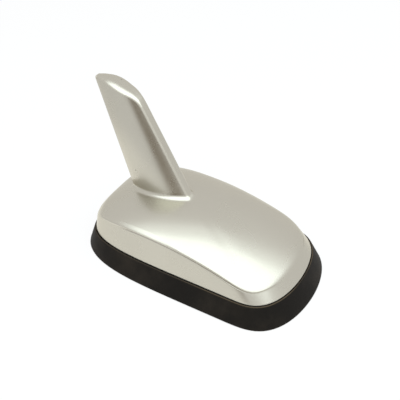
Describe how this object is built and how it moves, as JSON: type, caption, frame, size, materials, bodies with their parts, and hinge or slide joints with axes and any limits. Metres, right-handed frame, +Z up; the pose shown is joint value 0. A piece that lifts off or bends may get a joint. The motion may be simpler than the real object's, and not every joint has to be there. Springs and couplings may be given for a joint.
{
  "type": "decorative car antenna",
  "caption": "Decorative roof antenna for a car: silver domed shell with a raked blade fin, seated in a flared black rubber gasket over a screwed base plate with an adhesive pad.",
  "frame": {"origin": "middle of the foot of the gasket, on the roof plane", "axes": "+X to the nose of the antenna, +Y to its left, +Z up"},
  "size_m": [0.11, 0.0632, 0.081],
  "materials": {
    "silver_paint": "warm silver metallic paint with a satin clear coat on moulded plastic",
    "black_rubber": "matte black rubber",
    "black_plastic": "matte black moulded plastic",
    "screw_steel": "zinc-plated steel",
    "foam_pad": "matte grey foam tape"
  },
  "bodies": {
    "root": {"antenna_shell": "silver_paint", "rubber_gasket": "black_rubber", "base_plate": "black_plastic", "plate_screws": "screw_steel", "adhesive_pad": "foam_pad"}
  },
  "joints": []
}
